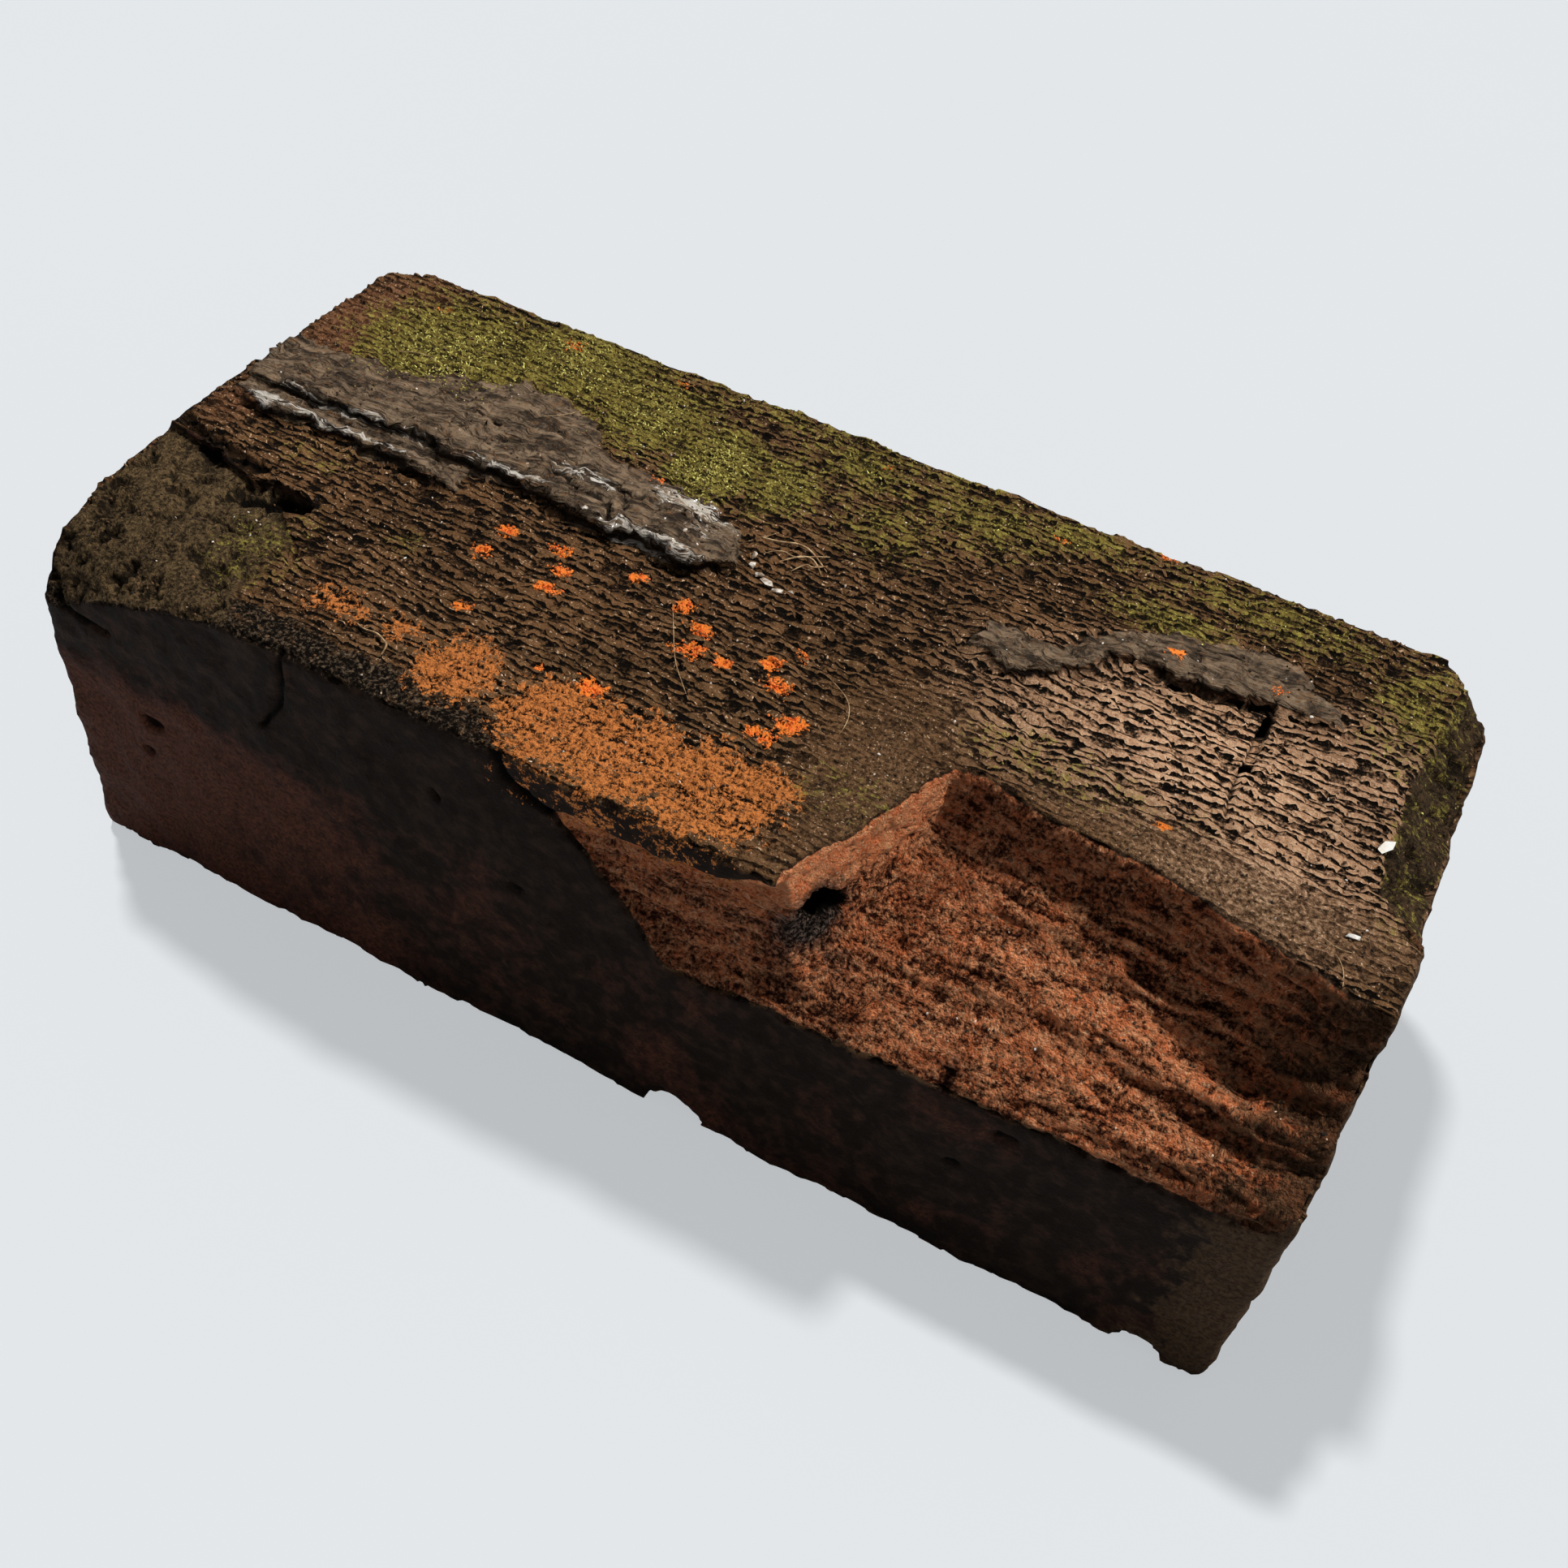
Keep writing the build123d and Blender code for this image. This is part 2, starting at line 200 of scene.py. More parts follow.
# Colours as (setting, what it is, red, green, blue), with red, green and blue from 0 to 255
COLOURS = (
    # Painted shade inside the pore and the grooves
    ("black", "Inside the pore and the grooves", 5, 4, 3),
    # Painted shade in the hollows, and also soil and soot
    ("hollow", "Soil and soot in the hollows", 12, 8, 5),
    ("soil", "Soil-brown crests", 72, 50, 30),
    ("crest", "Worn crests of the cut face", 112, 80, 52),
    ("dust", "Dusty grains on the crests", 156, 120, 86),
    ("smooth", "Smeared part of the cut face", 118, 88, 62),
    ("pale", "Paler clay near the right end", 196, 150, 116),
    ("red", "Redder clay near the left end", 140, 92, 66),
    ("powder", "Powdery worn faces", 122, 100, 70),
    ("powder_dark", "Darker parts of worn faces", 30, 24, 17),
    ("die_skin", "Dark fired skin of the sides", 28, 20, 15),
    ("die_light", "Lighter blotches of that skin", 48, 34, 26),
    ("side_red", "Clay showing through the skin", 96, 56, 42),
    ("side_dark", "Darker parts of that clay", 46, 28, 19),
    ("end_brown", "Soil on the right end", 84, 66, 47),
    ("broken", "Body colour of broken clay", 236, 134, 84),
    ("broken_light", "Lighter parts of broken clay", 250, 170, 120),
    ("broken_grain", "Brightest grains of broken clay", 255, 212, 168),
    ("broken_dark", "Shaded grains of broken clay", 48, 19, 11),
    ("soot", "Sooty clay round the pore", 120, 102, 92),
    ("skin", "Dark grey dragged clay", 46, 38, 31),
    ("skin_light", "Lighter streaks of dragged clay", 134, 114, 93),
    # Painted highlight on the skins' glossy streaks
    ("gloss", "Silvery sintered streaks", 226, 220, 210),
    ("crust", "Dull orange lichen crust", 214, 132, 70),
    ("crust_dark", "Darker grains of that crust", 84, 46, 22),
    ("lichen", "Bright orange lichen", 252, 138, 56),
    ("lichen_dark", "Deeper orange lichen", 214, 92, 24),
    ("moss", "Olive green film", 104, 92, 40),
    ("moss_light", "Brighter green film", 166, 154, 76),
    ("moss_dark", "Shaded green film", 54, 46, 24),
    ("moss_tip", "Bright tips of the tufts", 244, 240, 140),
    ("speck", "Pale mineral specks", 236, 200, 166),
    ("white", "White chips and grit", 228, 230, 228),
    ("fibre", "Dry root fibres", 206, 176, 132),
    ("fibre_dark", "Darker root fibres", 140, 106, 70),
)

# Suns as (name, strength, colour, direction, whether it lights the floor or the brick)
SUNS = (
    ("brick_sun", 3.0, (1.0, 0.95, 0.88), (-0.5, -0.33, -0.8), False),
    ("gloss_sun", 1.0, (1.0, 0.98, 0.95), (0.26, -0.56, -0.79), False),
    ("floor_sun", 2.9, (1.0, 1.0, 1.0), (0.32, -0.27, -0.91), True),
)
SUN_ANGLE = math.radians(5)

# The photo's camera: its place in metres, its directions, and its lens on a 36 mm sensor
CAMERA_PLACE = (0.08727, -0.19641, 0.26023)
CAMERA_RIGHT = (0.8815525, 0.4638356, 0.0878739)
CAMERA_DOWN = (0.3943283, -0.6211405, -0.6772663)
CAMERA_AHEAD = (-0.2595582, 0.6316969, -0.7304715)
LENS = 38.386
FLOOR_REACH = 3.0


# Node helpers


def put(tree, kind, inputs=(), **settings):
    """Adds a node, applies its settings, and sets or links its inputs, given by name or by place."""
    node = tree.nodes.new(kind)
    for name, value in settings.items():
        setattr(node, name, value)
    for key, value in (inputs.items() if isinstance(inputs, dict) else enumerate(inputs)):
        if isinstance(value, bpy.types.Node):
            value = value.outputs[0]
        if isinstance(value, bpy.types.NodeSocket):
            tree.links.new(value, node.inputs[key])
        elif value is not None:
            node.inputs[key].default_value = value
    return node


def maths(tree, operation, *values):
    return put(tree, "ShaderNodeMath", values, operation=operation).outputs[0]


def vector_maths(tree, operation, *values):
    return put(tree, "ShaderNodeVectorMath", values, operation=operation).outputs[0]


def ramp(tree, value, low, high, start=0.0, end=1.0):
    """Value carried smoothly from start at low to end at high."""
    inputs = (value, low, high, start, end)
    return put(tree, "ShaderNodeMapRange", inputs, interpolation_type="SMOOTHSTEP").outputs[0]


def noise(tree, vector, scale, detail=2.0, roughness=0.5, distortion=0.0, colour=False):
    inputs = {"Vector": vector, "Scale": scale, "Detail": detail, "Roughness": roughness}
    inputs["Distortion"] = distortion
    return put(tree, "ShaderNodeTexNoise", inputs).outputs[int(colour)]


def stretched(tree, vector, scales):
    return vector_maths(tree, "MULTIPLY", vector, scales)


def blend(tree, factor, first, second):
    """Colour that goes from first to second as factor goes from 0 to 1."""
    return put(tree, "ShaderNodeMix", {0: factor, 6: first, 7: second}, data_type="RGBA").outputs[2]


def mixed(tree, factor, first, second):
    return put(tree, "ShaderNodeMix", {0: factor, 2: first, 3: second}).outputs[0]


def plus(tree, *values):
    total = values[0]
    for value in values[1:]:
        total = maths(tree, "ADD", total, value)
    return total


def times(tree, *values):
    product = values[0]
    for value in values[1:]:
        product = maths(tree, "MULTIPLY", product, value)
    return product


def largest(tree, *values):
    most = values[0]
    for value in values[1:]:
        most = maths(tree, "MAXIMUM", most, value)
    return most


def inverse(tree, value):
    return maths(tree, "SUBTRACT", 1.0, value)


def wobble(tree, place, scale, detail, roughness, reach):
    """Offset that wanders over the surface, by a share of reach each way."""
    wander = noise(tree, place, scale, detail, roughness, colour=True)
    return vector_maths(tree, "MULTIPLY", vector_maths(tree, "SUBTRACT", wander, (0.5, 0.5, 0.5)), reach)


def around(tree, value, spread):
    """Noise, which keeps near a half, carried to a swing of about plus and minus spread."""
    return maths(tree, "MULTIPLY_ADD", value, 4.0 * spread, -2.0 * spread)


def wire_rows(tree, place, pitch):
    """Height from 0 to 1 of the rows that the wire tore, each with its steep side to the front."""
    parts = put(tree, "ShaderNodeSeparateXYZ", [place]).outputs
    rows = stretched(tree, place, (0.4, 1, 0))
    bend = times(tree, noise(tree, rows, 0.07, 1.0), 4.0)
    ripple = times(tree, noise(tree, rows, 0.55, 2.0, 0.6), 2.0)
    turns = plus(tree, maths(tree, "DIVIDE", parts[1], pitch), bend, ripple)
    lift = inverse(tree, maths(tree, "FRACT", turns))
    row = times(tree, maths(tree, "FLOOR", turns), 3.7)
    sway = times(tree, noise(tree, place, 0.5, 2.0, 0.7), 1.6)
    lane = put(tree, "ShaderNodeCombineXYZ", [plus(tree, times(tree, parts[0], 0.26), sway), row, None])
    torn = ramp(tree, noise(tree, lane, 1.0, 2.0, 0.65), 0.34, 0.56, 0.26, 1.0)
    return times(tree, lift, torn)


def mesh_tree(name, sockets):
    """Geometry node tree whose inputs are a mesh, the (type, name, default) sockets and a material."""
    tree = bpy.data.node_groups.new(name, "GeometryNodeTree")
    shape = "NodeSocketGeometry"
    sockets = ((shape, "Geometry", None), *sockets, ("NodeSocketMaterial", "Material", None))
    for socket_type, label, default in sockets:
        socket = tree.interface.new_socket(name=label, in_out="INPUT", socket_type=socket_type)
        if default is not None:
            socket.default_value = default
    tree.interface.new_socket(name="Geometry", in_out="OUTPUT", socket_type=shape)
    return tree, tree.nodes.new("NodeGroupInput").outputs, tree.nodes.new("NodeGroupOutput").inputs


def stored_field(tree, name):
    return put(tree, "GeometryNodeInputNamedAttribute", {"Name": name}, data_type="FLOAT").outputs[0]


def finish_tree(tree, shape, given, result):
    """Ends a tree with plain geometry in its one material."""
    real = put(tree, "GeometryNodeRealizeInstances", [shape])
    painted = put(tree, "GeometryNodeSetMaterial", {"Geometry": real, "Material": given["Material"]})
    tree.links.new(painted.outputs[0], result[0])
    return tree


def srgb(red, green, blue):
    """Linear colour from the usual 0 to 255 values."""
    def linear(value):
        value /= 255
        return value / 12.92 if value <= 0.04045 else ((value + 0.055) / 1.055) ** 2.4
    return (linear(red), linear(green), linear(blue), 1.0)


# Masks over the brick's points


def path_distance(points, path, closed=False):
    """Distance of 2-D points from a path of straight runs."""
    nearest = np.full(len(points), np.inf)
    ends = zip(path, path[1:] + path[:1]) if closed else zip(path, path[1:])
    for start, end in ends:
        start, run = np.array(start, float), np.array(end, float) - np.array(start, float)
        along = np.clip((points - start) @ run / (run @ run), 0, 1)
        nearest = np.minimum(nearest, np.linalg.norm(points - start - along[:, None] * run, axis=1))
    return nearest


def inside_distance(points, outline):
    """Distance of 2-D points from an outline, positive inside."""
    inside = np.zeros(len(points), bool)
    for (x0, y0), (x1, y1) in zip(outline, outline[1:] + outline[:1]):
        crosses = (y0 > points[:, 1]) != (y1 > points[:, 1])
        if y0 != y1:
            inside ^= crosses & (points[:, 0] < x0 + (points[:, 1] - y0) * (x1 - x0) / (y1 - y0))
    return np.where(inside, 1, -1) * path_distance(points, outline, closed=True)


def spots(points, table):
    """Field that is the strength in the middle of each spot and falls to 0 at its rim."""
    field = np.zeros(len(points))
    for x, y, reach_x, reach_y, strength in table:
        away = np.hypot((points[:, 0] - x) / reach_x, (points[:, 1] - y) / reach_y)
        field = np.maximum(field, strength * np.clip(1.3 - away, 0, 1))
    return field


def blank_depth(p):
    """Depth of points under the brick's first surface, before it was broken and worn."""
    x, y, z = p.T
    side = HALF_WIDTH - STRETCHER_BOW * (x / HALF_LENGTH) ** 2
    end = HALF_LENGTH - END_BOW * (y / HALF_WIDTH) ** 2
    plan_x, plan_y = np.abs(x) - end + CORNER_RADIUS, np.abs(y) - side + CORNER_RADIUS
    plan = np.hypot(np.maximum(plan_x, 0), np.maximum(plan_y, 0)) + np.minimum(np.maximum(plan_x, plan_y), 0)
    plan += ARRIS_RADIUS - CORNER_RADIUS
    rise = np.abs(z - CUT_FACE / 2) - CUT_FACE / 2 + ARRIS_RADIUS
    outside = np.hypot(np.maximum(plan, 0), np.maximum(rise, 0)) + np.minimum(np.maximum(plan, rise), 0)
    return ARRIS_RADIUS - outside


def store(mesh, name, values):
    mesh.attributes.new(name, "FLOAT", "POINT").data.foreach_set("value", values.astype(np.float32))


def mark_regions(mesh):
    """Stores what each point belongs to: breaks, skins, grooves, growths and stains."""
    count = len(mesh.vertices)
    p, normal = np.empty(count * 3), np.empty(count * 3)
    mesh.vertices.foreach_get("co", p)
    mesh.vertices.foreach_get("normal", normal)
    p, normal = p.reshape(-1, 3), normal.reshape(-1, 3)
    over = p[:, [0, 1]]
    ahead = p[:, [0, 2]]
    upper = np.clip((p[:, 2] - UPPER_FROM) / 4, 0, 1)
    depth = blank_depth(p)
    store(mesh, "depth", depth)
    corner = np.clip((p[:, 0] - BREAK_LEFT) / 4, 0, 1) * np.clip((BREAK_BACK - p[:, 1]) / 4, 0, 1)
    corner *= (p[:, 2] > BREAK_BOTTOM) & ((p[:, 2] < NOSE_TOP) | (p[:, 0] > NOSE_LEFT))
    store(mesh, "fresh", corner * np.clip((depth - 0.25) / 0.5, 0, 1))
    skin = np.maximum(inside_distance(over, LONG_SKIN), inside_distance(over, SHORT_SKIN))
    store(mesh, "skin", np.where(p[:, 2] > CUT_FACE - 1.5, np.clip(skin, -5, 5), -5))
    store(mesh, "cut", np.clip((np.abs(normal[:, 2]) - 0.4) / 0.35, 0, 1))
    # Faces turned to the front, where the broken clay gets painted shade
    store(mesh, "steep", np.clip((-normal[:, 1] - 0.55) / 0.35, 0, 1))
    # Faces turned up, where crumbs and grit lie; the skins get painted shade off them and a painted highlight
    # on them
    store(mesh, "open", np.clip((normal[:, 2] - 0.6) / 0.3, 0, 1) * (p[:, 2] > 40))
    on_top = np.clip((normal[:, 2] - 0.3) / 0.3, 0, 1) * (p[:, 2] > 66)
    on_front = np.clip((-normal[:, 1] - 0.5) / 0.3, 0, 1) * (p[:, 1] < -HALF_WIDTH + 3)
    groove = np.zeros(count)
    for flat, face, table in ((over, on_top, CUT_GROOVES), (ahead, on_front, FRONT_GROOVES)):
        for path, width, deep in table:
            cut = deep * np.clip(1 - (path_distance(flat, path) / width) ** 2, 0, 1)
            groove = np.maximum(groove, cut * face)
    store(mesh, "groove", groove)
    tables = {"moss": MOSS, "lichen": LICHEN, "crust": CRUST, "red": RED_CLAY, "pale": PALE_CLAY,
              "gloss": GLOSS, "smooth": SMOOTH_CUT}
    for name, table in tables.items():
        store(mesh, name, spots(over, table) * upper)
    soot = np.zeros(count)
    for x, y, z, reach, strength in SOOT:
        soot = np.maximum(soot, strength * np.clip(1.3 - np.linalg.norm(p - (x, y, z), axis=1) / reach, 0, 1))
    store(mesh, "soot", soot)
    from_pore = p - PORE_CENTRE
    half_long, half_wide = PORE_HALF_SIZES
    spread = np.hypot(from_pore @ PORE_ALONG / half_long, from_pore @ PORE_ACROSS / half_wide)
    store(mesh, "pore", np.clip(1.4 - spread, 0, 1) * (np.linalg.norm(from_pore, axis=1) < 10))


# Mesh making


def evaluated(source, name):
    """Plain mesh of an object with its modifiers applied."""
    graph = bpy.context.evaluated_depsgraph_get()
    mesh = bpy.data.meshes.new_from_object(source.evaluated_get(graph), depsgraph=graph)
    mesh.name = name
    return mesh


def scratch_object(name, mesh):
    made = bpy.data.objects.new(name, mesh)
    bpy.context.scene.collection.objects.link(made)
    return made


def with_nodes(source, tree, values):
    """Adds a geometry nodes modifier and sets its inputs by their names' identifiers."""
    modifier = source.modifiers.new(tree.name, "NODES")
    modifier.node_group = tree
    for item in tree.interface.items_tree:
        if item.item_type == "SOCKET" and item.in_out == "INPUT" and item.name in values:
            modifier[item.identifier] = values[item.name]


def fine_blank(voxel):
    """Fine closed mesh of the solid, in millimetres, with its regions marked."""
    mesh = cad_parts[NODE].data.copy()
    mesh.transform(Matrix.Scale(1 / MM, 4))
    body = bmesh.new()
    body.from_mesh(mesh)
    bmesh.ops.remove_doubles(body, verts=body.verts, dist=0.001)
    body.to_mesh(mesh)
    body.free()
    blank = scratch_object("blank", mesh)
    remesh = blank.modifiers.new("fine", "REMESH")
    remesh.mode = "VOXEL"
    remesh.voxel_size = voxel
    fine = evaluated(blank, "fine_blank")
    bpy.data.objects.remove(blank)
    mark_regions(fine)
    return fine


def relief_tree():
    """Wire-cut rows, broken grain, worn faces and ragged arrises, pushed along each point's normal."""
    tree, given, result = mesh_tree("Brick relief", (
        ("NodeSocketFloat", "Wire Pitch", 1.8),
        ("NodeSocketFloat", "Wire Depth", 0.7),
        ("NodeSocketFloat", "Grain Height", 0.8),
        ("NodeSocketFloat", "Lamination", 1.6),
        ("NodeSocketFloat", "Arris Wear", 1.6),
    ))

    def field(name):
        return stored_field(tree, name)

    def swing(*noise_values):
        return around(tree, noise(tree, *noise_values), 1.0)

    place = put(tree, "GeometryNodeInputPosition").outputs[0]
    facing = put(tree, "GeometryNodeInputNormal").outputs[0]
    parts = put(tree, "ShaderNodeSeparateXYZ", [place]).outputs
    fresh = field("fresh")
    skin = ramp(tree, plus(tree, field("skin"), swing(place, 0.35)), -0.3, 0.5)
    whole = inverse(tree, fresh)
    worn = times(tree, ramp(tree, field("depth"), 0.2, 0.8), whole)
    bare = inverse(tree, largest(tree, fresh, skin, worn))
    calm = inverse(tree, times(tree, field("smooth"), 0.85))
    rows = maths(tree, "SUBTRACT", wire_rows(tree, place, given["Wire Pitch"]), 0.6)
    wire = times(tree, rows, given["Wire Depth"], calm, field("cut"), bare)

    # Sandy grain, ledges and laminations of the broken clay, which run along the brick
    grain = times(tree, swing(place, 0.62, 3.0, 0.7), given["Grain Height"])
    layered = stretched(tree, place, (0.22, 1, 1))
    torn = times(tree, ramp(tree, parts[0], *STRONG_LAYERS_X, 0.5, 1.1), given["Lamination"])
    layers = times(tree, swing(layered, 0.3, 5.0, 0.7, 0.3), torn)
    shift = times(tree, noise(tree, layered, 0.12, 2.0), 5.0)
    ledge = maths(tree, "FRACT", plus(tree, maths(tree, "DIVIDE", parts[2], LEDGE_SPACING), shift))
    ledge = times(tree, ramp(tree, ledge, 0.0, 0.9), torn, 0.6)
    broken = times(tree, fresh, plus(tree, grain, layers, ledge))

    # Weathered faces: soft lumps, with finer grit where they are worn
    lumps = swing(place, 0.1, 3.0, 0.5)
    grit = swing(place, 0.65, 3.0, 0.7)
    sides = inverse(tree, field("cut"))
    rough = plus(
        tree, times(tree, lumps, 0.12), times(tree, grit, 0.06), times(tree, worn, grit, 0.14),
        times(tree, worn, lumps, 0.12), times(tree, sides, grit, 0.06),
    )

    # Streaks along the dragged skins, and their ragged outline
    streak = noise(tree, stretched(tree, place, (0.16, 1, 1)), 0.42, 3.0, 0.6, 0.6)
    crease = maths(tree, "ABSOLUTE", maths(tree, "SUBTRACT", streak, 0.5))
    streak = times(tree, skin, maths(tree, "SUBTRACT", 0.12, crease), 2.4)
    jag = wobble(tree, place, 0.2, 2.0, 0.6, SKIN_JAG)
    nick = wobble(tree, place, 0.75, 3.0, 0.7, SKIN_NICK)
    jagged = vector_maths(tree, "SCALE", vector_maths(tree, "ADD", jag, nick))
    near = ramp(tree, field("skin"), -4.0, -0.5)
    tree.links.new(times(tree, near, whole), jagged.node.inputs["Scale"])

    # Chips along the arrises
    arris = ramp(tree, field("depth"), 0.02, 0.3)
    chip = ramp(tree, noise(tree, place, 0.2, 4.0, 0.65), 0.46, 0.66)
    chip = times(tree, arris, chip, given["Arris Wear"], whole)
    cut = times(tree, field("groove"), plus(tree, times(tree, swing(place, 0.5, 2.0), 0.35), 1.0))
    pore = times(tree, ramp(tree, field("pore"), 0.3, 0.7), PORE_DEEPENING)

    height = maths(tree, "SUBTRACT", plus(tree, wire, broken, rough, streak), plus(tree, chip, cut, pore))
    push = vector_maths(tree, "SCALE", facing)
    tree.links.new(height, push.node.inputs["Scale"])
    drift = wobble(tree, place, 0.12, 3.0, 0.55, FACE_DRIFT)
    offset = vector_maths(tree, "ADD", vector_maths(tree, "ADD", push, drift), jagged)
    before = {"Geometry": given["Geometry"], "Name": "source", "Value": place}
    sourced = put(tree, "GeometryNodeStoreNamedAttribute", before, data_type="FLOAT_VECTOR")
    moved = put(tree, "GeometryNodeSetPosition", {"Geometry": sourced, "Offset": offset})

    # The lower cut face stays on the floor
    again = put(tree, "ShaderNodeSeparateXYZ", [put(tree, "GeometryNodeInputPosition")]).outputs
    floored = put(tree, "ShaderNodeCombineXYZ", [again[0], again[1], maths(tree, "MAXIMUM", again[2], 0.0)])
    rested = put(tree, "GeometryNodeSetPosition", {"Geometry": moved, "Position": floored})
    # The height is kept for the material, which paints shade into its low parts
    stored = {"Geometry": rested, "Name": "relief", "Value": height}
    kept = put(tree, "GeometryNodeStoreNamedAttribute", stored, data_type="FLOAT")
    return finish_tree(tree, kept, given, result)


def scatter_tree(name, shape):
    """Small shapes strewn over the surface where a stored field is strong."""
    tree, given, result = mesh_tree(name, (
        ("NodeSocketString", "Field", ""),
        ("NodeSocketFloat", "From", 0.2),
        ("NodeSocketFloat", "Full At", 0.8),
        ("NodeSocketFloat", "Density", 1.0),
        ("NodeSocketVector", "Smallest", (1, 1, 1)),
        ("NodeSocketVector", "Largest", (1, 1, 1)),
        ("NodeSocketFloat", "Tilt", 0.5),
        ("NodeSocketFloat", "Clumps", 0.3),
        ("NodeSocketInt", "Seed", 0),
    ))
    place = put(tree, "GeometryNodeInputPosition").outputs[0]
    value = stored_field(tree, given["Field"])
    clumped = plus(tree, value, around(tree, noise(tree, place, given["Clumps"], 2.0, 0.6), 0.5))
    share = put(tree, "ShaderNodeMapRange", [clumped, given["From"], given["Full At"], 0.0, 1.0])
    present = ramp(tree, value, 0.02, 0.1)
    density = times(tree, share.outputs[0], present, given["Density"])
    points = put(tree, "GeometryNodeDistributePointsOnFaces", {
        "Mesh": given["Geometry"], "Density": density, "Seed": given["Seed"],
    })
    tilt = given["Tilt"]
    back = maths(tree, "MULTIPLY", tilt, -1.0)
    least = put(tree, "ShaderNodeCombineXYZ", [back, back, None])
    most = put(tree, "ShaderNodeCombineXYZ", [tilt, tilt, 2 * math.pi])
    turn = {0: least, 1: most, "Seed": given["Seed"]}
    turn = put(tree, "FunctionNodeRandomValue", turn, data_type="FLOAT_VECTOR")
    size = {0: given["Smallest"], 1: given["Largest"], "Seed": plus(tree, given["Seed"], 1.0)}
    size = put(tree, "FunctionNodeRandomValue", size, data_type="FLOAT_VECTOR")
    if shape == "grain":
        model = put(tree, "GeometryNodeMeshIcoSphere", {"Radius": 0.5, "Subdivisions": 1})
    else:
        cone = {"Vertices": 4, "Radius Top": 0.0, "Radius Bottom": 0.5, "Depth": 1.0}
        model = put(tree, "GeometryNodeMeshCone", cone)
    strewn = put(tree, "GeometryNodeInstanceOnPoints", {
        "Points": points, "Instance": model, "Rotation": turn, "Scale": size,
    })
    return finish_tree(tree, strewn, given, result)


def surface_copy():
    """The finished body as a scratch object in millimetres."""
    mesh = bpy.data.objects["brick_body"].data.copy()
    mesh.transform(Matrix.Scale(1 / MM, 4))
    return scratch_object("surface", mesh)


def finish_piece(name, mesh, smooth=False):
    """Takes a mesh in millimetres, and makes it a piece that rides with the brick."""
    mesh.transform(Matrix.Scale(MM, 4))
    mesh.name = name
    if smooth:
        mesh.shade_smooth()
    piece = scratch_object(name, mesh)
    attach(piece, BODY)
    return piece


def strew(name, shape, material, seed, field, start, full, density, clumps, least, most, tilt=1.5):
    """Scatters grains or tufts, in millimetres, over the body and keeps them as one plain mesh."""
    surface = surface_copy()
    with_nodes(surface, scatter_tree(name, shape), {
        "Field": field, "From": start, "Full At": full, "Density": density, "Clumps": clumps, "Tilt": tilt,
        "Seed": seed, "Smallest": least, "Largest": most, "Material": material,
    })
    mesh = evaluated(surface, name)
    bpy.data.objects.remove(surface)
    return finish_piece(name, mesh)


def joined(parts):
    """One mesh from a list of meshes."""
    whole = bmesh.new()
    for part in parts:
        whole.from_mesh(part)
    mesh = bpy.data.meshes.new("joined")
    whole.to_mesh(mesh)
    whole.free()
    return mesh


def surface_finder():
    """Function that gives the height of the brick's surface at x and y, in millimetres."""
    surface = surface_copy()
    corners = [vertex.co.copy() for vertex in surface.data.vertices]
    tree = BVHTree.FromPolygons(corners, [face.vertices[:] for face in surface.data.polygons])
    bpy.data.objects.remove(surface)

    def height(x, y):
        hit = tree.ray_cast(Vector((x, y, 200.0)), Vector((0, 0, -1)))
        return hit[0].z
    return height


def flake_of_stone(place, sizes, turn, seed):
    """Angular chip: an icosphere with its corners pushed about."""
    random = np.random.default_rng(seed)
    body = bmesh.new()
    bmesh.ops.create_icosphere(body, subdivisions=1, radius=0.5)
    for vertex in body.verts:
        vertex.co *= random.uniform(0.55, 1.2)
        vertex.co = Vector((vertex.co.x * sizes[0], vertex.co.y * sizes[1], vertex.co.z * sizes[2]))
    bmesh.ops.rotate(body, verts=body.verts, matrix=Matrix.Rotation(math.radians(turn), 3, "Z"))
    bmesh.ops.translate(body, verts=body.verts, vec=Vector(place))
    mesh = bpy.data.meshes.new("chip")
    body.to_mesh(mesh)
    body.free()
    return mesh


def fibre(points, radius):
    """Thin round fibre through the points, thinner at its ends."""
    curve = bpy.data.curves.new("fibre", "CURVE")
    curve.dimensions = "3D"
    curve.bevel_depth = radius
    curve.bevel_resolution = 1
    curve.resolution_u = 5
    curve.use_fill_caps = True
    spline = curve.splines.new("NURBS")
    spline.points.add(len(points) - 1)
    for number, (point, place) in enumerate(zip(spline.points, points)):
        point.co = (*place, 1)
        point.radius = 0.55 if number in (0, len(points) - 1) else 1.0
    spline.use_endpoint_u = True
    spline.order_u = 3
    made = scratch_object("fibre", curve)
    mesh = evaluated(made, "fibre")
    bpy.data.objects.remove(made)
    return mesh


# Materials


def new_material(name):
    material = bpy.data.materials.new(name)
    material.use_nodes = True
    tree = material.node_tree
    shader = tree.nodes["Principled BSDF"]
    return material, tree, shader


